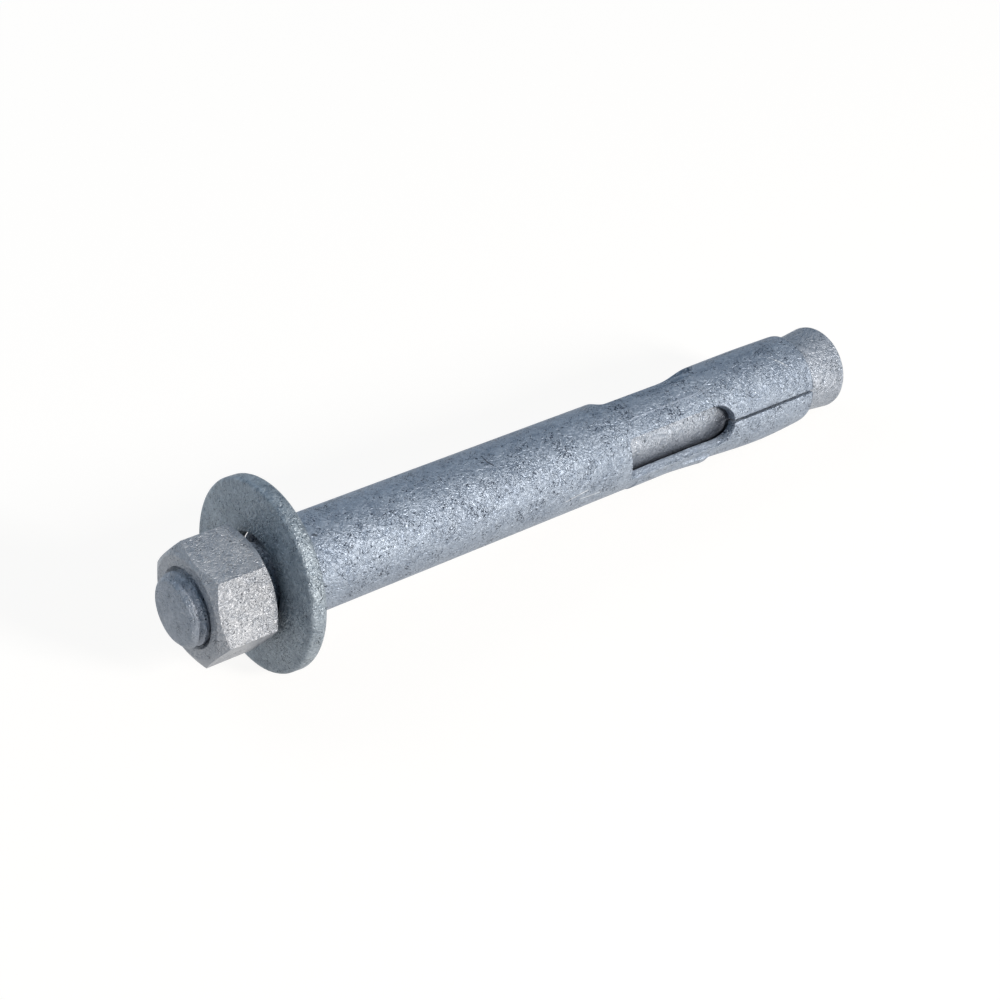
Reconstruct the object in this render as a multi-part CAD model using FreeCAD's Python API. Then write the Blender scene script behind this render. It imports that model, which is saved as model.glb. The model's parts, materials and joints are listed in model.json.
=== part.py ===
"""Hex-nut sleeve anchor, galvanised, lying at rest on its washer and its cone.

Each piece is modelled on its own axis first: X runs along the anchor from the nut to the cone, and x = 0 is the
middle of the washer's outer face. The finished anchor is then tilted until the washer's rim and the cone's rim
both touch the floor. Lengths are in millimetres and angles in degrees.
"""
import FreeCAD, Part
import math
import os

from FreeCAD import Matrix, Placement, Rotation, Vector

# Sleeve
sleeve_diameter = 16.0
sleeve_wall = 1.7
sleeve_length = 113.5
sleeve_head_rounding = 0.4
sleeve_mouth_chamfer = 0.5

# Slots, the slits that run from them to the mouth, and the rolled strip's butt seam
slot_count = 3
slot_direction = 173.0
slot_length = 24.4
slot_width = 7.9
slot_corner_radius = 1.3
slit_length = 20.7
slit_width = 0.55
seam_width = 0.2

# Swelling of each leg between its slots and the mouth, highest along the middle of the leg
crown_start_in_slot = 14.0
crown_height = 0.86
crown_peak_from_mouth = 11.0
crown_mouth_height = 0.34
crown_rise_steps = 6
crown_fall_steps = 4
crown_fall_power = 1.6

# Wedge rib on the middle of each leg
rib_span = 26.0
rib_start_in_slot = 2.4
rib_step = 0.13
rib_flat_length = 8.6
rib_height = 0.68
rib_peak_in_slot = 19.0
rib_end_ramp = 2.4
rib_middle_share = 0.4

# Stud with its expander cone
thread_pitch = 1.75
end_chamfer_in_pitches = 0.45
thread_showing = 2.5
cone_length = 27.0
cone_end_diameter = 15.4
cone_overhang = 8.3
cone_end_rounding = 0.7

# Hexagon nut
nut_across_flats = 18.0
nut_height = 10.6
nut_chamfer_angle = 30.0
nut_face_step = 0.7
nut_countersink_step = 0.65
nut_corner_direction = 14.0

# Washer
washer_diameter = 31.6
washer_thickness = 2.8
washer_rounding = 0.5
washer_lean = 2.5
washer_turn = 1.43

# Clearances
bore_clearance = 0.3
hanging_clearance = 0.04
thread_clearance = 0.05
cone_clearance = 0.06
washer_hole_clearance = 1.1
washer_stud_clearance = 0.07
washer_sleeve_clearance = 0.15
nut_washer_gap = 1.3

# Sizes that follow
sleeve_radius = sleeve_diameter / 2
bore_radius = sleeve_radius - sleeve_wall
thread_radius = bore_radius - bore_clearance
stud_end_chamfer = end_chamfer_in_pitches * thread_pitch
cone_end_radius = cone_end_diameter / 2
washer_radius = washer_diameter / 2
washer_hole_radius = thread_radius + washer_hole_clearance
lean = math.radians(washer_lean)
leg_pitch = 360.0 / slot_count

# The loose washer leans, so the sleeve keeps clear of the side that leans towards it.
sleeve_start = (washer_thickness + sleeve_radius * math.sin(lean)) / math.cos(lean) + washer_sleeve_clearance
sleeve_end = sleeve_start + sleeve_length
slot_end = sleeve_end - slit_length
slot_start = slot_end - slot_length
crown_start = slot_start + crown_start_in_slot
cone_end = sleeve_end + cone_overhang
cone_start = cone_end - cone_length
cone_rim_x = cone_end - cone_end_rounding
nut_back = -nut_washer_gap
nut_front = nut_back - nut_height
stud_start = nut_front - thread_showing
stud_length = cone_end - stud_start

# The stud's weight rests on the lower edge of the washer's hole, so the washer stands higher than the stud.
hole_play = washer_hole_radius * math.cos(lean) - thread_radius - washer_thickness / 2 * math.sin(lean)
washer_lift = hole_play - washer_stud_clearance

# The loose sleeve hangs on the stud at the nut's side and is centred by the cone at its mouth.
hang_angle = math.degrees(math.atan2(bore_clearance - hanging_clearance, sleeve_length))

# How far the cutters reach past what they cut
cutter_reach = 5.0


def turned(profile):
    """Solid of revolution about the X axis from a list of (x, radius) points."""
    points = [Vector(x, 0, radius) for x, radius in profile]
    face = Part.Face(Part.makePolygon(points + points[:1]))
    return face.revolve(Vector(0, 0, 0), Vector(1, 0, 0), 360)


def rounded_corner(x, radius, rounding, facing):
    """Points of a rounded outer corner, from the face at x inwards. The face looks along facing, -1 or 1."""
    middle = rounding * (1 - math.sqrt(0.5))
    return [
        (x, radius - rounding),
        (x - facing * middle, radius - middle),
        (x - facing * rounding, radius),
    ]


def around(shape, angle):
    """Copy of a shape turned about the X axis, from +Y towards +Z."""
    copy = shape.copy()
    copy.rotate(Vector(0, 0, 0), Vector(1, 0, 0), angle)
    return copy


def cone_radius(x):
    """Radius of the expander cone, continued past its small end."""
    slope = (cone_end_radius - thread_radius) / cone_length
    return cone_end_radius - slope * (cone_end - x)


def make_stud():
    """Threaded bar, at the thread's outer diameter, that widens to the expander cone."""
    rim = rounded_corner(cone_end, cone_end_radius, cone_end_rounding, 1)
    return turned([
        (stud_start, 0),
        (stud_start, thread_radius - stud_end_chamfer),
        (stud_start + stud_end_chamfer, thread_radius),
        (cone_start, thread_radius),
        (cone_rim_x, cone_radius(cone_rim_x)),
        rim[1],
        rim[0],
        (cone_end, 0),
    ])


def make_nut():
    """Hexagon trimmed by a chamfer cone on both sides, with a countersunk bore."""
    corner_radius = nut_across_flats / 2 / math.cos(math.pi / 6)
    corners = []
    for k in range(6):
        angle = math.radians(nut_corner_direction + 60 * k)
        corners.append(Vector(nut_front, corner_radius * math.cos(angle), corner_radius * math.sin(angle)))
    hexagon = Part.Face(Part.makePolygon(corners + corners[:1])).extrude(Vector(nut_height, 0, 0))
    face_radius = nut_across_flats / 2 - nut_face_step
    chamfer_run = (corner_radius - face_radius) * math.tan(math.radians(nut_chamfer_angle))
    barrel = turned([
        (nut_front, 0),
        (nut_front, face_radius),
        (nut_front + chamfer_run, corner_radius),
        (nut_back - chamfer_run, corner_radius),
        (nut_back, face_radius),
        (nut_back, 0),
    ])
    bore = thread_radius + thread_clearance
    sink = thread_radius + nut_countersink_step
    hole = turned([
        (nut_front - (sink - bore), 0),
        (nut_front - (sink - bore), 2 * sink - bore),
        (nut_front + (sink - bore), bore),
        (nut_back - (sink - bore), bore),
        (nut_back + (sink - bore), 2 * sink - bore),
        (nut_back + (sink - bore), 0),
    ])
    return hexagon.common(barrel).cut(hole)


def make_washer():
    """Flat ring with rounded edges, leaning and resting on the stud."""
    outer_rim = rounded_corner(0, washer_radius, washer_rounding, -1)
    inner_rim = rounded_corner(washer_thickness, washer_radius, washer_rounding, 1)
    ring = turned(
        [(0, washer_hole_radius)] + outer_rim + inner_rim[::-1] + [(washer_thickness, washer_hole_radius)])
    # The line where the round faces start and end stays off the floor.
    ring.rotate(Vector(0, 0, 0), Vector(1, 0, 0), washer_turn)
    ring.rotate(Vector(0, 0, 0), Vector(0, 1, 0), washer_lean)
    # The stud passes the hole's middle at the washer's own middle plane.
    middle = Vector(math.cos(lean), 0, -math.sin(lean)) * (washer_thickness / 2)
    ring.translate(Vector(0, 0, washer_lift - middle.z))
    return ring


def leg_section(x, swell):
    """Cross-section of one leg from slit to slit, its middle raised by swell. The leg faces +Y."""
    half = math.radians(leg_pitch / 2)

    def arc(radius):
        ends = [Vector(x, radius * math.cos(half), side * radius * math.sin(half)) for side in (-1, 1)]
        return Part.Arc(ends[0], Vector(x, radius + swell, 0), ends[1]).toShape(), ends

    outer, outer_ends = arc(sleeve_radius)
    inner, inner_ends = arc(bore_radius)
    sides = [Part.makeLine(a, b) for a, b in zip(outer_ends, inner_ends)]
    return Part.Wire(Part.__sortEdges__([outer, sides[0], inner, sides[1]]))


def crown(x):
    """How far the middle of a leg swells out: an S-shaped rise to the peak, then a fall towards the mouth."""
    peak = sleeve_end - crown_peak_from_mouth
    if x <= peak:
        share = (x - crown_start) / (peak - crown_start)
        return crown_height * share ** 2 * (3 - 2 * share)
    share = (x - peak) / crown_peak_from_mouth
    return crown_height - (crown_height - crown_mouth_height) * share ** crown_fall_power


def make_swollen_leg():
    """Part of one leg from where its crown starts to the mouth of the sleeve."""
    peak = sleeve_end - crown_peak_from_mouth
    rise = [crown_start + (peak - crown_start) * k / crown_rise_steps for k in range(crown_rise_steps)]
    fall = [peak + crown_peak_from_mouth * k / crown_fall_steps for k in range(crown_fall_steps + 1)]
    return Part.makeLoft([leg_section(x, crown(x)) for x in rise + fall], True, True)


def make_rib():
    """Raised wedge on the middle of a leg: low and flat first, then rising to an abrupt end. It faces +Y."""
    start = slot_start + rib_start_in_slot
    flat_end = start + rib_flat_length
    peak = slot_start + rib_peak_in_slot
    root = sleeve_radius - sleeve_wall / 2
    middle_rise = rib_step + (rib_height - rib_step) * rib_middle_share
    outline = Part.BSplineCurve()
    outline.interpolate([
        Vector(flat_end, sleeve_radius + rib_step, 0),
        Vector((flat_end + peak) / 2, sleeve_radius + middle_rise, 0),
        Vector(peak, sleeve_radius + rib_height, 0),
    ])
    corners = [
        Vector(peak, sleeve_radius + rib_height, 0),
        Vector(peak + rib_end_ramp, sleeve_radius, 0),
        Vector(peak + rib_end_ramp, root, 0),
        Vector(start, root, 0),
        Vector(start, sleeve_radius + rib_step, 0),
        Vector(flat_end, sleeve_radius + rib_step, 0),
    ]
    edges = [outline.toShape()] + [Part.makeLine(a, b) for a, b in zip(corners, corners[1:])]
    face = Part.Face(Part.Wire(Part.__sortEdges__(edges)))
    face.rotate(Vector(0, 0, 0), Vector(1, 0, 0), -rib_span / 2)
    return face.revolve(Vector(0, 0, 0), Vector(1, 0, 0), rib_span)


def make_slot_cutter():
    """Slot with walls that point to the sleeve's axis: square at the nut side and round at the slit. It faces +Y."""
    half = slot_width / 2
    corner = slot_corner_radius
    square_x = slot_start + corner
    round_x = slot_end - half
    diagonal = corner * math.sqrt(0.5)

    def corner_arc(side):
        middle = Vector(square_x - diagonal, 0, side * (half - corner + diagonal))
        return Part.Arc(Vector(square_x, 0, side * half), middle, Vector(slot_start, 0, side * (half - corner)))

    edges = [
        Part.LineSegment(Vector(square_x, 0, -half), Vector(round_x, 0, -half)),
        Part.Arc(Vector(round_x, 0, -half), Vector(slot_end, 0, 0), Vector(round_x, 0, half)),
        Part.LineSegment(Vector(round_x, 0, half), Vector(square_x, 0, half)),
        corner_arc(1),
        Part.LineSegment(Vector(slot_start, 0, half - corner), Vector(slot_start, 0, corner - half)),
        corner_arc(-1),
    ]
    flat = Part.Wire(Part.__sortEdges__([edge.toShape() for edge in edges]))
    spread = math.tan(half / sleeve_radius) / half
    wires = []
    for reach in (bore_radius - sleeve_wall, sleeve_radius + sleeve_wall):
        wires.append(flat.transformGeometry(Matrix(
            1, 0, 0, 0,
            0, 1, 0, reach,
            0, 0, reach * spread, 0,
            0, 0, 0, 1)))
    return Part.makeLoft(wires, True, True)


def radial_cutter(start, end, width):
    """Thin cutter through one side of the sleeve's wall, towards +Y."""
    inner = bore_radius - sleeve_wall
    depth = 3 * sleeve_wall
    return Part.makeBox(end - start, depth, width, Vector(start, inner, -width / 2))


def make_sleeve():
    """Rolled tube with three slotted, crowned and ribbed legs and a mouth that fits the cone."""
    head = rounded_corner(sleeve_start, sleeve_radius, sleeve_head_rounding, -1)
    tube = turned(
        [(sleeve_start, bore_radius)] + head + [(crown_start, sleeve_radius), (crown_start, bore_radius)])
    slot_cutter = make_slot_cutter()
    slit_cutter = radial_cutter(slot_end - slot_width / 2, sleeve_end + cutter_reach, slit_width)
    seam_cutter = radial_cutter(sleeve_start - cutter_reach, slot_start + slot_width, seam_width)
    mouth = turned([
        (cone_start - cutter_reach, 0),
        (cone_start - cutter_reach, cone_radius(cone_start - cutter_reach) + cone_clearance),
        (sleeve_end + cutter_reach, cone_radius(sleeve_end + cutter_reach) + cone_clearance),
        (sleeve_end + cutter_reach, 0),
    ])
    rim = sleeve_radius + crown_mouth_height
    chamfer_trim = turned([
        (sleeve_end - sleeve_mouth_chamfer, rim),
        (sleeve_end + cutter_reach, rim - sleeve_mouth_chamfer - cutter_reach),
        (sleeve_end + cutter_reach, rim + cutter_reach),
        (sleeve_end - sleeve_mouth_chamfer, rim + cutter_reach),
    ])
    leg = make_swollen_leg()
    rib = make_rib()
    sleeve = tube
    slots = [slot_direction + leg_pitch * k for k in range(slot_count)]
    for angle in slots:
        sleeve = sleeve.cut(around(slot_cutter, angle))
    for angle in slots:
        middle = angle + leg_pitch / 2
        piece = around(leg, middle).cut(mouth).cut(chamfer_trim)
        for side in (-1, 1):
            edge = middle + side * leg_pitch / 2
            piece = piece.cut(around(slot_cutter, edge)).cut(around(slit_cutter, edge))
        sleeve = sleeve.fuse(piece).fuse(around(rib, middle))
    # The strip's two ends meet on the line of the slot that faces the floor.
    seam_angle = slot_direction + leg_pitch
    sleeve = sleeve.cut(around(seam_cutter, seam_angle)).removeSplitter()
    sleeve.rotate(Vector(sleeve_end, 0, 0), Vector(0, 1, 0), -hang_angle)
    return sleeve


def lying_tilt():
    """Angle at which the washer's rim and the cone's rim stand on the same floor."""
    half_flat = washer_thickness / 2 - washer_rounding
    along = cone_rim_x - washer_thickness / 2 * math.cos(lean)
    along += washer_radius * math.sin(lean) - half_flat * math.cos(lean)
    drop = washer_radius * math.cos(lean) + half_flat * math.sin(lean) - washer_lift - cone_radius(cone_rim_x)
    return math.degrees(math.atan2(drop, along))


def main():
    pieces = {
        "stud": make_stud(),
        "sleeve": make_sleeve(),
        "washer": make_washer(),
        "hex_nut": make_nut(),
    }
    tilt = lying_tilt()
    lay_down = Rotation(Vector(0, 1, 0), tilt)
    for shape in pieces.values():
        shape.rotate(Vector(0, 0, 0), Vector(0, 1, 0), tilt)
    box = Part.makeCompound(list(pieces.values())).optimalBoundingBox(False)
    shift = Vector(-box.Center.x, 0, -box.ZMin)
    os.makedirs("parts", exist_ok=True)
    for name, shape in pieces.items():
        shape.translate(shift)
        shape.exportStep(os.path.join("parts", name + ".step"))
        solid_count = len(shape.Solids)
        print(name, "solids", solid_count, "volume", round(shape.Volume, 2), "valid", shape.isValid())

    def place(x, z=0.0):
        point = Placement(shift, lay_down).multVec(Vector(x, 0, z))
        return [round(value, 5) for value in point]

    def place_on_sleeve(x):
        reach = Rotation(Vector(0, 1, 0), -hang_angle).multVec(Vector(x - sleeve_end, 0, 0))
        return place(sleeve_end + reach.x, reach.z)

    sleeve_axis = Rotation(Vector(0, 1, 0), tilt - hang_angle).multVec(Vector(1, 0, 0))
    washer_normal = Rotation(Vector(0, 1, 0), tilt + washer_lean).multVec(Vector(1, 0, 0))
    print("tilt", round(tilt, 5), "stud length", round(stud_length, 3))
    print("axis", [round(value, 6) for value in lay_down.multVec(Vector(1, 0, 0))])
    print("washer axis", [round(value, 6) for value in washer_normal])
    print("stud start", place(stud_start), "nut front", place(nut_front), "nut back", place(nut_back))
    print("washer centre", place(washer_thickness / 2 * math.cos(lean), washer_lift))
    print("sleeve axis", [round(value, 6) for value in sleeve_axis])
    print("sleeve start", place_on_sleeve(sleeve_start), "slot start", place_on_sleeve(slot_start))
    print("slot end", place_on_sleeve(slot_end), "sleeve end", place_on_sleeve(sleeve_end))
    print("cone start", place(cone_start), "cone end", place(cone_end))


main()
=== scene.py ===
# %% [markdown]
# # A galvanised sleeve anchor
# A sleeve anchor holds a fixture to concrete. Its stud ends in a cone. When the nut is turned, the stud is drawn
# back, and the cone spreads the slotted sleeve in the drilled hole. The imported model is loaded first: its nodes give
# the place and the axis of each piece, and the pieces made here take the place of those nodes.

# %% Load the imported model
import json
import math

import bpy
from mathutils import Matrix, Vector


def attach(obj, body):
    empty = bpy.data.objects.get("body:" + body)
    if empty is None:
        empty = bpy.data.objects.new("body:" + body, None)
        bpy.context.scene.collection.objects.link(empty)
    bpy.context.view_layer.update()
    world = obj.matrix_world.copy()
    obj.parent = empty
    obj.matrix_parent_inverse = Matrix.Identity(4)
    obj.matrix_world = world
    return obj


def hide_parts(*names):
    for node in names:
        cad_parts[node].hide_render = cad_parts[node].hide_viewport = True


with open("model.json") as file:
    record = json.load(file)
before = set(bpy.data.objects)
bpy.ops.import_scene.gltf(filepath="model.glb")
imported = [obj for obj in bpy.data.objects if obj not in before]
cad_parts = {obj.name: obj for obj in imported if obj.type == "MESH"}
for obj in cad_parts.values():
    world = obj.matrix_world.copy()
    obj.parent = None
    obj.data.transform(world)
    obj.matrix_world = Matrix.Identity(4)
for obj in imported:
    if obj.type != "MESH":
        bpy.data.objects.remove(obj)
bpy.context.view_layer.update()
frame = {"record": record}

# %% [markdown]
# ## Working on the anchor's own axis
# The anchor lies tilted, on its washer and its cone. It is easier to model each piece level, along X, with x = 0 at
# the middle of the washer's outer face, and to lay it down afterwards. The record gives the axis, and the middle of
# the nut gives the place along it. Sizes are written in millimetres and turned into metres by MM.

# %% The anchor's axis and the step that lays a piece down
MM = 0.001
joints = {joint["name"]: joint for joint in frame["record"]["behaviour"]["joints"]}
anchor_axis = Vector(joints["stud_slide"]["axis"]).normalized()
anchor_tilt = math.atan2(-anchor_axis.z, anchor_axis.x)

NUT_BACK = -1.3
NUT_FRONT = -11.9
nut_middle = Vector(joints["nut_turn"]["pos_m"])
anchor_zero = nut_middle - anchor_axis * (NUT_FRONT + NUT_BACK) / 2 * MM
lay_down = Matrix.Translation(anchor_zero) @ Matrix.Rotation(anchor_tilt, 4, "Y")
print("tilt", round(math.degrees(anchor_tilt), 3), "zero point in mm", [round(v / MM, 2) for v in anchor_zero])


def only(piece):
    """Selects one piece, and nothing else."""
    if bpy.context.object and bpy.context.object.mode != "OBJECT":
        bpy.ops.object.mode_set(mode="OBJECT")
    bpy.ops.object.select_all(action="DESELECT")
    piece.select_set(True)
    bpy.context.view_layer.objects.active = piece


def put_in_mesh(piece, placement=Matrix.Identity(4)):
    """Moves a piece by a placement and writes the place into its mesh."""
    only(piece)
    piece.matrix_world = placement @ piece.matrix_world
    bpy.ops.object.transform_apply(location=True, rotation=True, scale=True)


# %% [markdown]
# ## Turning round pieces
# Round pieces are turned on a lathe. Here a circle stands in for the first cut, and it is extruded along the axis
# and scaled at every station of the profile. A closed bar gets its two ends filled. A ring goes back through its
# hole, and its first and last circles are bridged.

# %% A lathe made of extrusions
def turned(name, profile, sides=96, ring=False):
    """Solid along X from (x, radius) stations in millimetres."""
    x, radius = profile[0]
    bpy.ops.object.select_all(action="DESELECT")
    bpy.ops.mesh.primitive_circle_add(
        vertices=sides, radius=radius * MM, location=(x * MM, 0, 0), rotation=(0, math.pi / 2, 0))
    piece = bpy.context.object
    piece.name = piece.data.name = name
    bpy.ops.object.mode_set(mode="EDIT")
    bpy.ops.mesh.select_all(action="SELECT")
    if not ring:
        bpy.ops.mesh.edge_face_add()
        bpy.ops.mesh.select_all(action="SELECT")
    for next_x, next_radius in profile[1:]:
        bpy.ops.mesh.extrude_region_move(TRANSFORM_OT_translate={"value": ((next_x - x) * MM, 0, 0)})
        scale = next_radius / radius
        bpy.ops.transform.resize(value=(1, scale, scale), center_override=(next_x * MM, 0, 0))
        x, radius = next_x, next_radius
    if ring:
        bpy.ops.mesh.select_all(action="DESELECT")
        bpy.ops.mesh.select_non_manifold()
        bpy.ops.mesh.bridge_edge_loops()
    bpy.ops.mesh.select_all(action="SELECT")
    bpy.ops.mesh.normals_make_consistent(inside=False)
    bpy.ops.object.mode_set(mode="OBJECT")
    put_in_mesh(piece)
    return piece


def apply_boolean(piece, tool, operation):
    """Cuts or keeps with a tool that is then thrown away."""
    only(piece)
    cut = piece.modifiers.new("cut", "BOOLEAN")
    cut.operation = operation
    cut.solver = "EXACT"
    cut.object = tool
    bpy.ops.object.modifier_apply(modifier=cut.name)
    bpy.data.objects.remove(tool)


def soften(piece, width, angle=30, segments=2):
    """Rounds the edges that are sharper than an angle, then shades the piece smooth."""
    only(piece)
    bevel = piece.modifiers.new("soft edges", "BEVEL")
    bevel.width = width * MM
    bevel.segments = segments
    bevel.limit_method = "ANGLE"
    bevel.angle_limit = math.radians(angle)
    bevel.use_clamp_overlap = True
    bpy.ops.object.modifier_apply(modifier=bevel.name)
    bpy.ops.object.shade_smooth_by_angle(angle=math.radians(35))


def report(piece):
    """Prints a piece's faces and its box in millimetres."""
    box = [piece.matrix_world @ v.co for v in piece.data.vertices]
    low = [round(min(p[k] for p in box) / MM, 2) for k in range(3)]
    high = [round(max(p[k] for p in box) / MM, 2) for k in range(3)]
    print(piece.name, len(piece.data.polygons), "faces, mm", low, high)


# %% [markdown]
# ## The thread
# An M12 thread has a pitch of 1.75 mm and flanks at 60 degrees. The groove between two crests is modelled once, as
# a small four-cornered section, and the Screw modifier sweeps it round the axis while it moves one pitch a turn.
# Both the stud and the nut are cut from this one helix, so they stay in mesh when the nut turns.

# %% The helix
PITCH = 1.75
THREAD_RADIUS = 6.0
STUD_START = -14.4
GROOVE_START = STUD_START - 2 * PITCH + 1.0
THREAD_SIDES = 48


def helix(name, inner, outer, inner_width, outer_width, start, turns):
    """Sweeps a section, inner_width wide at the inner radius and outer_width at the outer, along a right-hand helix."""
    bpy.ops.object.select_all(action="DESELECT")
    bpy.ops.mesh.primitive_plane_add(size=1, location=(start * MM, 0, (inner + outer) / 2 * MM),
                                     rotation=(math.pi / 2, 0, 0))
    piece = bpy.context.object
    piece.name = piece.data.name = name
    piece.scale = (outer_width * MM, (outer - inner) * MM, 1)
    put_in_mesh(piece)
    bpy.ops.object.mode_set(mode="EDIT")
    bpy.ops.mesh.select_mode(type="VERT")
    bpy.ops.mesh.select_all(action="DESELECT")
    bpy.ops.object.mode_set(mode="OBJECT")
    for vertex in piece.data.vertices:
        vertex.select = vertex.co.z < (inner + outer) / 2 * MM
    bpy.ops.object.mode_set(mode="EDIT")
    share = inner_width / outer_width
    bpy.ops.transform.resize(value=(share, 1, 1), center_override=(start * MM, 0, inner * MM))
    bpy.ops.mesh.select_all(action="SELECT")
    bpy.ops.mesh.delete(type="ONLY_FACE")
    bpy.ops.object.mode_set(mode="OBJECT")
    screw = piece.modifiers.new("helix", "SCREW")
    screw.axis = "X"
    screw.screw_offset = PITCH * MM
    screw.iterations = turns
    screw.steps = screw.render_steps = THREAD_SIDES
    screw.use_merge_vertices = False
    bpy.ops.object.modifier_apply(modifier=screw.name)
    bpy.ops.object.mode_set(mode="EDIT")
    bpy.ops.mesh.select_all(action="SELECT")
    bpy.ops.mesh.fill_holes(sides=0)
    bpy.ops.mesh.select_all(action="SELECT")
    bpy.ops.mesh.normals_make_consistent(inside=False)
    bpy.ops.object.mode_set(mode="OBJECT")
    return piece


# %% [markdown]
# ## The stud
# The stud is one forged bar. Its end is chamfered, the thread is rolled on the part that the nut can reach, the
# shank behind it is plain, and the last 17 mm flare to the cone that opens the sleeve.

# %% Turn the stud, cut its thread and lay it down
CONE_END = 125.1
CONE_START = 107.9
CONE_RADIUS = 7.7
CONE_SLOPE = (CONE_RADIUS - THREAD_RADIUS) / (CONE_END - CONE_START)


def cone_at(x):
    """Radius of the cone at a station."""
    return CONE_RADIUS - CONE_SLOPE * (CONE_END - x)


stud = turned("threaded_stud", [
    (STUD_START, 4.9), (STUD_START + 0.07, 5.1), (STUD_START + 0.22, 5.3), (STUD_START + 0.72, 5.82),
    (STUD_START + 0.9, 5.97), (48.0, 5.99), (49.0, 5.9), (97.0, 5.9), (CONE_START, 5.96),
    (CONE_START + 1.5, cone_at(CONE_START + 1.5)), (CONE_END - 0.75, cone_at(CONE_END - 0.75)),
    (CONE_END - 0.45, 7.56), (CONE_END - 0.18, 7.35), (CONE_END, 7.0)])
groove = helix("groove", 5.1, 6.3, 0.3, 1.6, GROOVE_START, 37)
apply_boolean(stud, groove, "DIFFERENCE")
soften(stud, 0.05, angle=25, segments=1)
put_in_mesh(stud, lay_down)
report(stud)
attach(stud, "stud")
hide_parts("stud")

# %% [markdown]
# ## The nut
# A hexagon nut starts as a prism with six sides. Its corners are turned off by a cone on both faces, which leaves
# the curved edge where the cone crosses each flat. The bore is countersunk and then cut by the same helix, a little
# larger, so that it clears the stud. Zinc runs over every edge, so the edges are rounded at the end.

# %% Cut the nut from a hexagon
FLAT_WIDTH = 18.0
CORNER_TURN = 14.0
FACE_RADIUS = 8.35
COUNTERSINK = 6.65
corner_radius = FLAT_WIDTH / 2 / math.cos(math.pi / 6)
nut_length = NUT_BACK - NUT_FRONT

bpy.ops.object.select_all(action="DESELECT")
bpy.ops.mesh.primitive_cylinder_add(
    vertices=6, radius=corner_radius * MM, depth=nut_length * MM, location=((NUT_FRONT + NUT_BACK) / 2 * MM, 0, 0),
    rotation=(0, math.pi / 2, 0))
nut = bpy.context.object
nut.name = nut.data.name = "hexagon_nut"
put_in_mesh(nut)
corner = max(nut.data.vertices, key=lambda v: v.co.y).co
first_corner = math.degrees(math.atan2(corner.z, corner.y))
put_in_mesh(nut, Matrix.Rotation(math.radians(CORNER_TURN - first_corner), 4, "X"))

barrel_radius = corner_radius + 0.1
steep = math.tan(math.radians(60))
chamfer = (barrel_radius - FACE_RADIUS) / steep
barrel = turned("barrel", [
    (NUT_FRONT - 1, FACE_RADIUS - steep), (NUT_FRONT, FACE_RADIUS), (NUT_FRONT + chamfer, barrel_radius),
    (NUT_BACK - chamfer, barrel_radius), (NUT_BACK, FACE_RADIUS), (NUT_BACK + 1, FACE_RADIUS - steep)], sides=144)
apply_boolean(nut, barrel, "INTERSECT")
bore = turned("bore", [
    (NUT_FRONT - 1, COUNTERSINK + 1), (NUT_FRONT, COUNTERSINK), (NUT_FRONT + 1.4, 5.2), (NUT_BACK - 1.4, 5.2),
    (NUT_BACK, COUNTERSINK), (NUT_BACK + 1, COUNTERSINK + 1)])
apply_boolean(nut, bore, "DIFFERENCE")
soften(nut, 0.36, angle=28, segments=3)
nut_groove = helix("nut_groove", 4.9, 6.06, 1.42, 0.2, GROOVE_START + PITCH / 2, 11)
apply_boolean(nut, nut_groove, "DIFFERENCE")
only(nut)
bpy.ops.object.shade_smooth_by_angle(angle=math.radians(35))
put_in_mesh(nut, lay_down)
report(nut)
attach(nut, "nut")
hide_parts("hex_nut")

# %% [markdown]
# ## The washer
# The washer was punched from plate of 2.8 mm: the die rounds the edge on one side, and the hole is a little wider than
# the stud. It hangs on the stud, so it leans and sits lower than the stud's axis would have it.

# %% Turn the washer where it leans
washer_axis = Vector(joints["washer_spin"]["axis"]).normalized()
washer_tilt = math.atan2(-washer_axis.z, washer_axis.x)
washer_place = Matrix.Translation(Vector(joints["washer_spin"]["pos_m"])) @ Matrix.Rotation(washer_tilt, 4, "Y")
washer = turned("plate_washer", [
    (-1.4, 7.3), (-1.4, 15.1), (-1.32, 15.4), (-1.12, 15.65), (-0.85, 15.78), (0.85, 15.8), (1.12, 15.68),
    (1.32, 15.5), (1.4, 15.25), (1.4, 7.25), (1.25, 7.1), (-1.2, 7.12)], sides=160, ring=True)
only(washer)
bpy.ops.object.shade_smooth_by_angle(angle=math.radians(40))
put_in_mesh(washer, washer_place)
report(washer)
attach(washer, "washer")
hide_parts("washer")

# %% [markdown]
# ## The sleeve, as a flat strip
# The real sleeve is a strip of sheet steel. Its windows are punched while it is flat, its ribs are pressed, and then
# it is rolled until its two ends meet. It is modelled in the same order. The strip lies in the XZ plane, and its
# width is the circle at the middle of the wall, so that lengths along the sleeve stay true.

# %% Punch the flat strip
SLEEVE_START = 3.3
SLEEVE_END = 116.2
SLOT_START = 71.7
SLOT_END = 96.1
SLOT_WIDTH = 7.9
SLOT_CORNER = 1.3
SLIT_WIDTH = 0.55
CROWN_START = SLOT_START + 14.0
OUTER_RADIUS = 8.0
WALL = 1.7
ROLL_RADIUS = OUTER_RADIUS - WALL / 2
SEAM = 0.2
strip_width = 2 * math.pi * ROLL_RADIUS - SEAM
flat_share = ROLL_RADIUS / OUTER_RADIUS

bpy.ops.object.select_all(action="DESELECT")
bpy.ops.mesh.primitive_cube_add(size=1, location=((SLEEVE_START + SLEEVE_END) / 2 * MM, 0, 0))
sleeve = bpy.context.object
sleeve.name = sleeve.data.name = "rolled_sleeve"
sleeve.scale = ((SLEEVE_END - SLEEVE_START) * MM, WALL * MM, strip_width * MM)
put_in_mesh(sleeve)


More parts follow.
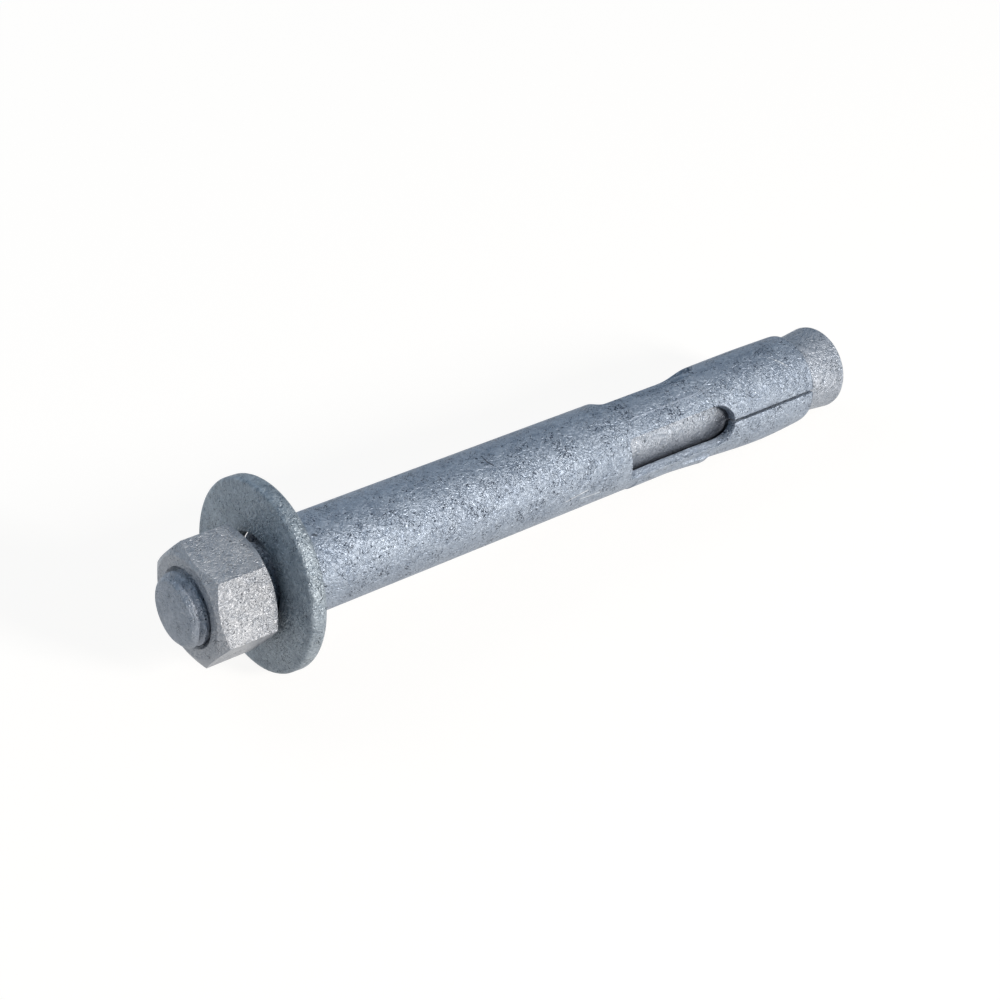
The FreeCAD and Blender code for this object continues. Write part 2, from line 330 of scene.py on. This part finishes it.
def select_vertices(piece, test):
    """Selects the vertices that pass a test, in edit mode."""
    only(piece)
    bpy.ops.object.mode_set(mode="EDIT")
    bpy.ops.mesh.select_mode(type="VERT")
    bpy.ops.mesh.select_all(action="DESELECT")
    bpy.ops.object.mode_set(mode="OBJECT")
    for vertex in piece.data.vertices:
        vertex.select = test(vertex.co / MM)
    bpy.ops.object.mode_set(mode="EDIT")


def window_punch(middle):
    """Slot with two small corners at the nut's side and a round end at the slit's."""
    length = SLOT_END - SLOT_START
    bpy.ops.object.select_all(action="DESELECT")
    bpy.ops.mesh.primitive_plane_add(
        size=1, location=((SLOT_START + SLOT_END) / 2 * MM, 0, 0), rotation=(math.pi / 2, 0, 0))
    punch = bpy.context.object
    punch.scale = (length * MM, SLOT_WIDTH * MM, 1)
    put_in_mesh(punch)
    select_vertices(punch, lambda p: p.x < SLOT_START + 1)
    bpy.ops.mesh.bevel(offset=SLOT_CORNER * MM, segments=6, affect="VERTICES")
    select_vertices(punch, lambda p: p.x > SLOT_END - 1)
    bpy.ops.mesh.bevel(offset=3.94 * MM, segments=12, affect="VERTICES")
    bpy.ops.mesh.select_all(action="SELECT")
    bpy.ops.mesh.extrude_region_move(TRANSFORM_OT_translate={"value": (0, 4 * MM, 0)})
    bpy.ops.mesh.select_all(action="SELECT")
    bpy.ops.mesh.normals_make_consistent(inside=False)
    bpy.ops.object.mode_set(mode="OBJECT")
    narrower = Matrix.Diagonal((1, 1, flat_share, 1))
    put_in_mesh(punch, Matrix.Translation((0, -2 * MM, middle * MM)) @ narrower)
    return punch


def slit_punch(middle):
    """Narrow cut from the window's round end to the mouth."""
    bpy.ops.object.select_all(action="DESELECT")
    bpy.ops.mesh.primitive_cube_add(size=1, location=((SLOT_END + SLEEVE_END) / 2 * MM, 0, middle * MM))
    punch = bpy.context.object
    punch.scale = ((SLEEVE_END - SLOT_END + 4) * MM, 4 * MM, SLIT_WIDTH * flat_share * MM)
    put_in_mesh(punch)
    return punch


third = 2 * math.pi * ROLL_RADIUS / 3
for middle in (-1.5 * third, -0.5 * third, 0.5 * third, 1.5 * third):
    apply_boolean(sleeve, window_punch(middle), "DIFFERENCE")
    apply_boolean(sleeve, slit_punch(middle), "DIFFERENCE")
report(sleeve)

# %% [markdown]
# ## Edges, and cuts for the bend
# The edges are rounded while the strip still has few faces. A bend needs many short faces, so the strip is then cut
# by planes: every 3 degrees of roll across it, and every millimetre along the part that swells. More planes follow the
# ribs, so that their sides and ends are crisp.

# %% Round the edges and cut the strip into cells
only(sleeve)
bevel = sleeve.modifiers.new("punched edges", "BEVEL")
bevel.width = 0.13 * MM
bevel.segments = 2
bevel.limit_method = "ANGLE"
bevel.angle_limit = math.radians(50)
bevel.use_clamp_overlap = True
bpy.ops.object.modifier_apply(modifier=bevel.name)

RIB_HALF = math.radians(13)
RIB_EDGE = math.radians(0.5)
RIB_OFFSET = math.radians(5)
RIB_START = SLOT_START + 2.4
RIB_LEAD_IN = 0.12
RIB_FLAT_END = RIB_START + 8.6
RIB_PEAK = SLOT_START + 19.0
RIB_END = RIB_PEAK + 2.4
cuts_across = {round(math.radians(3 * k) * ROLL_RADIUS, 4) for k in range(-59, 60)}
for leg in (-1, 0, 1):
    for side in (-1, 1):
        for edge in (RIB_HALF, RIB_HALF + RIB_EDGE):
            cuts_across.add(round(leg * third + (RIB_OFFSET + side * edge) * ROLL_RADIUS, 4))
cuts_along = {RIB_START, RIB_START + RIB_LEAD_IN, RIB_FLAT_END, RIB_PEAK, RIB_PEAK + 0.5, RIB_END, RIB_END + 0.3}
cuts_along |= {SLEEVE_START + 10.0 * k for k in range(1, 7)} | {SLOT_START + 1.0 * k for k in range(3, 45)}

bpy.ops.object.mode_set(mode="EDIT")
for across in sorted(cuts_across):
    bpy.ops.mesh.select_all(action="SELECT")
    bpy.ops.mesh.bisect(plane_co=(0, 0, across * MM), plane_no=(0, 0, 1))
for along in sorted(cuts_along):
    bpy.ops.mesh.select_all(action="SELECT")
    bpy.ops.mesh.bisect(plane_co=(along * MM, 0, 0), plane_no=(1, 0, 0))
bpy.ops.object.mode_set(mode="OBJECT")
report(sleeve)

# %% [markdown]
# ## Ribs and swelling
# Each leg carries a wedge rib that keeps the sleeve from turning, and the legs swell behind the windows so that they
# grip the hole at once. The ribs sit a little off the middles of the legs. Ribs and swelling are heights above the
# plain strip. They go into a vertex group, and one Displace modifier lifts the strip by it. The inner side takes the
# swelling but not the rib.

# %% Raise the ribs and the legs
CROWN_HEIGHT = 0.86
CROWN_PEAK = SLEEVE_END - 10.4
MOUTH_HEIGHT = 0.34
RIB_STEP = 0.17
RIB_HEIGHT = 0.68


def crown_in_middle(x):
    """Height of the swelling in the middle of a leg."""
    if x <= CROWN_START:
        return 0.0
    if x <= CROWN_PEAK:
        share = (x - CROWN_START) / (CROWN_PEAK - CROWN_START)
        return CROWN_HEIGHT * share ** 2 * (3 - 2 * share)
    share = min(1.0, (x - CROWN_PEAK) / (SLEEVE_END - CROWN_PEAK))
    return CROWN_HEIGHT - (CROWN_HEIGHT - MOUTH_HEIGHT) * share ** 1.6


def crown_height(x, turn):
    """Height of the swelling at an angle from the middle of its leg: an arc that is flush at the slits."""
    middle = crown_in_middle(x)
    if middle <= 0:
        return 0.0
    half = math.pi / 3
    top = OUTER_RADIUS + middle
    centre = (top ** 2 - OUTER_RADIUS ** 2) / (2 * (top - OUTER_RADIUS * math.cos(half)))
    arc = top - centre
    return centre * math.cos(turn) + math.sqrt(max(0.0, arc ** 2 - (centre * math.sin(turn)) ** 2)) - OUTER_RADIUS


def rib_height(x, turn):
    """Height of the rib: a low step, a rising wedge, and an abrupt end, a little off the leg's middle."""
    if not RIB_START < x < RIB_END:
        return 0.0
    if x < RIB_FLAT_END:
        height = RIB_STEP * min(1.0, (x - RIB_START) / RIB_LEAD_IN)
    elif x < RIB_PEAK:
        share = (x - RIB_FLAT_END) / (RIB_PEAK - RIB_FLAT_END)
        height = RIB_STEP + (RIB_HEIGHT - RIB_STEP) * share ** 1.3
    else:
        share = (x - RIB_PEAK) / (RIB_END - RIB_PEAK)
        height = RIB_HEIGHT * (1 - share)
    side = (RIB_HALF + RIB_EDGE - abs(turn - RIB_OFFSET)) / RIB_EDGE
    return height * min(1.0, max(0.0, side))


rise = sleeve.vertex_groups.new(name="rise")
for vertex in sleeve.data.vertices:
    x, y, z = vertex.co / MM
    roll = z / ROLL_RADIUS
    turn = roll - round(roll / (2 * math.pi / 3)) * 2 * math.pi / 3
    crown = crown_height(x, turn)
    depth = min(1.0, max(0.0, (WALL / 2 - y) / WALL))
    lift = crown + depth * max(0.0, rib_height(x, turn) - crown)
    if lift > 0:
        rise.add([vertex.index], lift, "REPLACE")
only(sleeve)
lift_up = sleeve.modifiers.new("ribs and swelling", "DISPLACE")
lift_up.direction = "Y"
lift_up.vertex_group = "rise"
lift_up.mid_level = 0
lift_up.strength = -1 * MM
bpy.ops.object.modifier_apply(modifier=lift_up.name)
sleeve.vertex_groups.clear()
report(sleeve)

# %% [markdown]
# ## Rolling the strip
# Simple Deform bends the strip about X. The angle is the strip's width over the radius at the middle of its wall, so
# the two ends come to a seam of 0.2 mm. The seam then turns to the slot line that faces the floor. The loose sleeve
# hangs on the stud at the nut's side, so it turns a little about the middle of its mouth.

# %% Bend the strip round and open its mouth
SEAM_DIRECTION = 293.0
bend = sleeve.modifiers.new("roll", "SIMPLE_DEFORM")
bend.deform_method = "BEND"
bend.deform_axis = "X"
bend.angle = strip_width / ROLL_RADIUS
only(sleeve)
bpy.ops.object.modifier_apply(modifier=bend.name)
put_in_mesh(sleeve, Matrix.Translation((0, -ROLL_RADIUS * MM, 0)))
radii = [math.hypot(v.co.y, v.co.z) / MM for v in sleeve.data.vertices]
print("rolled radii", round(min(radii), 3), "to", round(max(radii), 3))
put_in_mesh(sleeve, Matrix.Rotation(math.radians(SEAM_DIRECTION), 4, "X"))

only(sleeve)
bpy.ops.object.mode_set(mode="EDIT")
bpy.ops.mesh.select_all(action="SELECT")
bpy.ops.mesh.normals_make_consistent(inside=False)
bpy.ops.object.mode_set(mode="OBJECT")
# The cone, a little larger, clears the mouth from inside.
MOUTH_CLEARANCE = 0.08
mouth = turned("mouth", [
    (90, cone_at(90) + MOUTH_CLEARANCE), (SLEEVE_END - 0.25, cone_at(SLEEVE_END) + MOUTH_CLEARANCE),
    (SLEEVE_END + 1, cone_at(SLEEVE_END) + 0.9)])
apply_boolean(sleeve, mouth, "DIFFERENCE")
# A ring that hugs the rim rounds its outer edge.
rim = OUTER_RADIUS + MOUTH_HEIGHT
rounding = turned("rounding", [
    (SLEEVE_END - 1.0, rim), (SLEEVE_END - 0.5, rim), (SLEEVE_END - 0.22, rim - 0.1),
    (SLEEVE_END - 0.06, rim - 0.28), (SLEEVE_END + 0.2, rim - 0.8), (SLEEVE_END + 0.2, rim + 2),
    (SLEEVE_END - 1.0, rim + 2)], ring=True)
apply_boolean(sleeve, rounding, "DIFFERENCE")
only(sleeve)
bpy.ops.object.shade_smooth_by_angle(angle=math.radians(28))

mounts = {mount["name"]: mount for mount in frame["record"]["mounts"]}
sleeve_axis = Vector(mounts["sleeve_outside"]["axis"])
hang_turn = math.atan2(-sleeve_axis.z, sleeve_axis.x) - anchor_tilt
mouth_middle = Matrix.Translation((SLEEVE_END * MM, 0, 0))
hang = mouth_middle @ Matrix.Rotation(hang_turn, 4, "Y") @ mouth_middle.inverted()
put_in_mesh(sleeve, lay_down @ hang)
report(sleeve)
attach(sleeve, "sleeve")
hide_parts("sleeve")

# %% [markdown]
# ## Hot-dip zinc
# The zinc coat is a dull grey metal. Seen close, it has clouds up to a centimetre across, lumps of one or two
# millimetres like orange peel, shorter strokes, and fine grain with dark pits. All patterns read Object coordinates,
# in metres, so a noise scale of 1000 gives detail about a millimetre wide.

# %% A helper that adds shader nodes
def add_node(tree, kind, inputs, output=0, **settings):
    """Adds a node, sets or links its inputs by name or number, and returns one output."""
    node = tree.nodes.new("ShaderNode" + kind)
    for key, value in settings.items():
        setattr(node, key, value)
    for key, value in inputs.items():
        if isinstance(value, bpy.types.NodeSocket):
            tree.links.new(value, node.inputs[key])
        else:
            node.inputs[key].default_value = value
    return node.outputs[output]


def line_mask(tree, place, start, end, width):
    """1 on the line from start to end, in millimetres, and 0 beside it."""
    start, along = Vector(start) * MM, (Vector(end) - Vector(start)) * MM
    away = add_node(tree, "VectorMath", {0: place, 1: start}, operation="SUBTRACT")
    share = add_node(
        tree, "VectorMath", {0: away, 1: along / along.length_squared}, "Value", operation="DOT_PRODUCT")
    share = add_node(tree, "Math", {0: share, 1: 0.0}, operation="ADD", use_clamp=True)
    reach = add_node(tree, "VectorMath", {0: along, "Scale": share}, operation="SCALE")
    beside = add_node(tree, "VectorMath", {0: away, 1: reach}, operation="SUBTRACT")
    distance = add_node(tree, "VectorMath", {0: beside}, "Value", operation="LENGTH")
    return add_node(tree, "MapRange", {
        "Value": distance, "From Min": 0.0, "From Max": width * MM, "To Min": 1.0, "To Max": 0.0})


# %% [markdown]
# Half of the coat's shine is metal and half is dull oxide. Its colour runs between two greys with the clouds, the
# lumps and the strokes, and the pits are darker. The same patterns give the height for the bump, so a pit is both dark
# and sunk.

# %% The zinc coat
METAL_SHARE = 0.5
ROUGHNESS = (0.36, 0.52)
RELIEF_HEIGHT = 0.36


def zinc_coat(name, pale, dark, pit, pits=0.63, grain=0.3, seed=(0, 0, 0), marks=()):
    """Galvanised coat. Marks are (start, end, width, colour) lines in millimetres: scratches, nicks, painted shade and
    painted light.
    """
    coat = bpy.data.materials.new(name)
    coat.use_nodes = True
    tree = coat.node_tree
    shader = tree.nodes["Principled BSDF"]
    place = add_node(tree, "TexCoord", {}, "Object")
    centre = add_node(tree, "Mapping", {"Vector": place, "Location": seed})

    def noise(scale, detail, distortion=0.0):
        return add_node(tree, "TexNoise", {
            "Vector": centre, "Scale": scale, "Detail": detail, "Roughness": 0.6, "Distortion": distortion}, "Fac")

    def remap(value, low, high, to_low=0.0, to_high=1.0):
        return add_node(tree, "MapRange", {
            "Value": value, "From Min": low, "From Max": high, "To Min": to_low, "To Max": to_high})

    def times(value, factor):
        return add_node(tree, "Math", {0: value, 1: factor}, operation="MULTIPLY")

    def plus(first, second):
        return add_node(tree, "Math", {0: first, 1: second}, operation="ADD")

    def blend(factor, first, second):
        return add_node(tree, "Mix", {"Factor": factor, "A": first, "B": second}, "Result", data_type="RGBA")

    clouds = noise(120, 3, 0.8)
    lumps = noise(750, 3, 0.5)
    strokes = noise(1500, 2, 1.2)
    fine = noise(3000, 2, 0.4)
    specks = noise(2000, 1, 2.0)
    patches = noise(300, 2)
    shade = plus(plus(times(clouds, 0.3), times(lumps, 0.25)), times(strokes, 0.45))
    colour = blend(remap(shade, 0.38, 0.6), (*dark, 1), (*pale, 1))
    # Pits crowd together in some patches and are rare in others.
    pitting = remap(plus(specks, times(plus(patches, -0.5), 0.4)), pits, pits + 0.05)
    colour = blend(pitting, colour, (*pit, 1))
    height = plus(plus(times(lumps, 0.6), times(strokes, 0.9)), plus(times(fine, grain), times(pitting, -0.25)))
    # Each mark paints its colour along a line and sinks it a little; some are scratches and nicks, others are painted
    # shade and painted light.
    for start, end, width, tint in marks:
        line = line_mask(tree, place, start, end, width)
        colour = blend(line, colour, (*tint, 1))
        height = plus(height, times(line, -0.1))
    tree.links.new(colour, shader.inputs["Base Color"])
    tree.links.new(remap(lumps, 0.35, 0.65, *ROUGHNESS), shader.inputs["Roughness"])
    shader.inputs["Metallic"].default_value = METAL_SHARE
    relief = add_node(tree, "Bump", {"Height": height, "Strength": 1.0, "Distance": RELIEF_HEIGHT * MM})
    tree.links.new(relief, shader.inputs["Normal"])
    return coat


def wear(piece, coat):
    """Gives a piece its coat and no other material."""
    piece.data.materials.clear()
    piece.data.materials.append(coat)


# %% [markdown]
# The sleeve is bluish with many pits and carries a few scratches and a nick. The nut is warmer and grainy, the washer
# is darker and blotched, and the stud lies between them. Painted shade darkens the stud along the slot's lower edge and
# under the slit, and a painted shade line runs on the stud and the sleeve where the sleeve's mouth lies on the cone.
# The slot's lower wall is a cut edge, and painted light makes it a paler blue.

# %% Give each piece its coat
BRIGHT = (0.75, 0.78, 0.82)
NICK = (0.05, 0.06, 0.08)
# Painted shade: a dark colour laid on the stud in the slot and under the slit, and at the sleeve's mouth.
PAINTED_SHADE = (0.06, 0.07, 0.09)
# Painted light: a pale blue laid on the slot's lower wall.
PAINTED_LIGHT = (0.66, 0.74, 0.86)


def on_round(station, angle, radius):
    """Point around the anchor's axis in millimetres, with the angle from +Y over +Z in degrees."""
    turn = math.radians(angle)
    level = Vector((station * MM, radius * math.cos(turn) * MM, radius * math.sin(turn) * MM))
    return tuple(lay_down @ level / MM)


# Painted shade: a dark ring on the cone just behind the sleeve's mouth.
stud_mouth_shade = [
    (on_round(SLEEVE_END + 0.15, turn, 6.83), on_round(SLEEVE_END + 0.15, turn + 20, 6.83), 0.4, PAINTED_SHADE)
    for turn in range(40, 240, 20)]
# Painted shade: a dark ring along the sleeve's mouth edge.
sleeve_mouth_shade = [
    (on_round(SLEEVE_END, turn, 8.15), on_round(SLEEVE_END, turn + 15, 8.15), 0.4, PAINTED_SHADE)
    for turn in range(45, 240, 15)]
# Painted shade on the stud: the lower half seen in the slot, the slot's round end, and a line under the slit.
stud_painted_shade = [
    (on_round(73, 203, 6), on_round(95, 200, 6), 4.2, PAINTED_SHADE),
    (on_round(93.5, 192, 6), on_round(95.5, 165, 6), 3.6, PAINTED_SHADE),
    (on_round(95, 173, 6), on_round(107, 173, 6), 0.9, PAINTED_SHADE),
    (on_round(107, 173, 6), on_round(SLEEVE_END, 173, 6.83), 0.9, PAINTED_SHADE),
]
sleeve_wear_and_painted_light = [
    ((51.95, -2.4, 17.15), (54.05, -4.2, 16.3), 0.16, BRIGHT),
    ((54.05, -4.2, 16.3), (55.85, -5.75, 15.1), 0.2, BRIGHT),
    ((55.85, -5.75, 15.1), (54.45, -7.0, 13.9), 0.14, BRIGHT),
    ((50.9, -8.6, 9.1), (54.5, -8.2, 6.3), 0.13, BRIGHT),
    ((1.35, -7.81, 9.83), (6.1, -7.94, 10.3), 0.14, BRIGHT),
    ((4.6, -7.63, 8.97), (9.2, -7.53, 8.42), 0.14, BRIGHT),
    ((-10.8, -0.6, 20.25), (-10.9, -2.3, 19.95), 0.22, NICK),
    ((-10.9, -2.3, 19.95), (-10.4, -3.2, 19.6), 0.3, NICK),
    ((-46.1, -3.4, 21.5), (-45.7, -3.6, 21.4), 0.4, NICK),
    # Painted light: a pale blue band on the slot's lower wall. The lines above are scratches and nicks.
    (on_round(74, 204, 7.1), on_round(94, 204, 7.1), 1.0, PAINTED_LIGHT),
]
wear(sleeve, zinc_coat(
    "sleeve_zinc", (0.42, 0.48, 0.565), (0.24, 0.29, 0.37), (0.045, 0.06, 0.09), marks=sleeve_wear_and_painted_light + sleeve_mouth_shade))
wear(nut, zinc_coat(
    "nut_zinc", (0.54, 0.555, 0.585), (0.34, 0.365, 0.41), (0.11, 0.12, 0.14), pits=0.66, grain=0.5,
    seed=(0.3, 0.1, 0.2)))
wear(washer, zinc_coat(
    "washer_zinc", (0.44, 0.50, 0.55), (0.20, 0.245, 0.295), (0.06, 0.08, 0.10), pits=0.64, seed=(0.7, 0.5, 0.1)))
wear(stud, zinc_coat(
    "stud_zinc", (0.47, 0.505, 0.565), (0.27, 0.31, 0.37), (0.07, 0.09, 0.11), pits=0.65, seed=(0.2, 0.9, 0.4),
    marks=stud_painted_shade + stud_mouth_shade))
print("coats:", sorted(m.name for m in bpy.data.materials if m.name.endswith("zinc")))

# %% [markdown]
# ## Floor and light
# The photograph's light comes from the front, low and a little warm, so the faces that look that way are pale, and
# the tops are a darker blue. A soft lamp stands there, the world gives the cool light, and a weaker lamp behind keeps
# the far side from going dark. The floor is pale. What the camera and reflections see of it gets a share of plain
# white on top of its own light, so it comes out white and still keeps the shadow.

# %% Floor, world and lamps
WHITE_SHARE = 0.9
bpy.ops.object.select_all(action="DESELECT")
bpy.ops.mesh.primitive_plane_add(size=6, location=(0, 0, -0.00005))
floor = bpy.context.object
floor.name = "floor"
paper = bpy.data.materials.new("white_floor")
paper.use_nodes = True
paper_tree = paper.node_tree
paper_shader = paper_tree.nodes["Principled BSDF"]
paper_shader.inputs["Base Color"].default_value = (0.15, 0.147, 0.144, 1)
paper_shader.inputs["Roughness"].default_value = 0.9
paper_shader.inputs["Specular IOR Level"].default_value = 0.1
paper_shader.inputs["Emission Color"].default_value = (1, 0.99, 0.975, 1)
ray = paper_tree.nodes.new("ShaderNodeLightPath")
seen = add_node(
    paper_tree, "Math", {0: ray.outputs["Is Camera Ray"], 1: ray.outputs["Is Glossy Ray"]}, operation="MAXIMUM")
seen = add_node(paper_tree, "Math", {0: seen, 1: ray.outputs["Is Transmission Ray"]}, operation="MAXIMUM")
white_share = add_node(paper_tree, "Math", {0: seen, 1: WHITE_SHARE}, operation="MULTIPLY")
paper_tree.links.new(white_share, paper_shader.inputs["Emission Strength"])
floor.data.materials.append(paper)

world = bpy.context.scene.world or bpy.data.worlds.new("studio")
bpy.context.scene.world = world
world.use_nodes = True
background = world.node_tree.nodes["Background"]
background.inputs["Color"].default_value = (0.58, 0.78, 1.0, 1)
background.inputs["Strength"].default_value = 0.3


def soft_lamp(name, spot, target, size, power, colour):
    """Square area lamp that faces a target."""
    bpy.ops.object.light_add(type="AREA", location=spot)
    lamp = bpy.context.object
    lamp.name = name
    lamp.data.size = size
    lamp.data.energy = power
    lamp.data.color = colour
    lamp.rotation_euler = (Vector(target) - Vector(spot)).to_track_quat("-Z", "Y").to_euler()


soft_lamp("front_light", (0.24, -0.855, 0.345), (0, 0, 0.01), 0.2, 10.4, (1.0, 0.94, 0.87))
soft_lamp("back_light", (-0.25, 0.72, 0.55), (0, 0, 0), 0.6, 2.2, (0.88, 0.94, 1.0))

# %% [markdown]
# ## Camera
# The camera looks down at the anchor by about 33 degrees, from the nut's end, with a long lens. Its place was found by
# fitting the model's outlines to the photograph.

# %% Camera at the photograph's viewing angle
bpy.ops.object.camera_add(location=(-0.1911, -0.22728, 0.19819))
camera = bpy.context.object
view_forward = Vector((0.53014, 0.65259, -0.54137)).normalized()
view_up = Vector((0.35055, 0.41268, 0.84072))
view_right = view_forward.cross(view_up).normalized()
view_up = view_right.cross(view_forward)
view_turn = Matrix((view_right, view_up, -view_forward)).transposed().to_4x4()
camera.matrix_world = Matrix.Translation(camera.location) @ view_turn
camera.data.sensor_width = 36
camera.data.lens = 36 * 2.086
camera.data.clip_start = 0.01
bpy.context.scene.camera = camera
bpy.context.scene.view_settings.view_transform = "Standard"

# %% The end
print("scene built")
